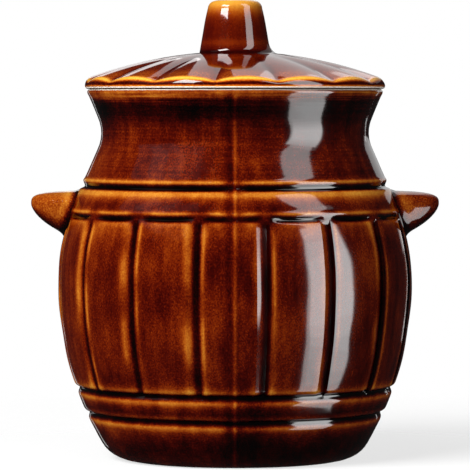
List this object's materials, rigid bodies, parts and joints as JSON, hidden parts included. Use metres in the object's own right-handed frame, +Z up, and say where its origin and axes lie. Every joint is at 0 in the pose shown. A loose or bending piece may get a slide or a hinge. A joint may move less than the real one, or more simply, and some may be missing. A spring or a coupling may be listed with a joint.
{
  "type": "lidded stoneware pot",
  "caption": "Cask-shaped brown glazed stoneware pot with hoop rings, stave grooves, ear lugs and a loose fluted lid with a tapered knob.",
  "frame": {"origin": "centre of the foot ring, on the plane that the pot stands on", "axes": "+Z up along the pot's axis, X through the two lugs, the pictured front faces -Y"},
  "size_m": [0.1724, 0.1494, 0.1935],
  "materials": {
    "body_glaze": "glossy amber-brown glaze",
    "lug_glaze": "glossy amber-brown glaze",
    "lid_glaze": "glossy amber-brown glaze",
    "knob_glaze": "glossy amber-brown glaze"
  },
  "bodies": {
    "pot": {"pot_body": "body_glaze", "left_lug": "lug_glaze", "right_lug": "lug_glaze"},
    "lid": {"lid": "lid_glaze", "knob": "knob_glaze"}
  },
  "joints": [
    {"name": "lid_lift", "type": "slide", "parent": "pot", "child": "lid", "axis": [0, 0, 1], "range_m": [0, 0.08]}
  ]
}
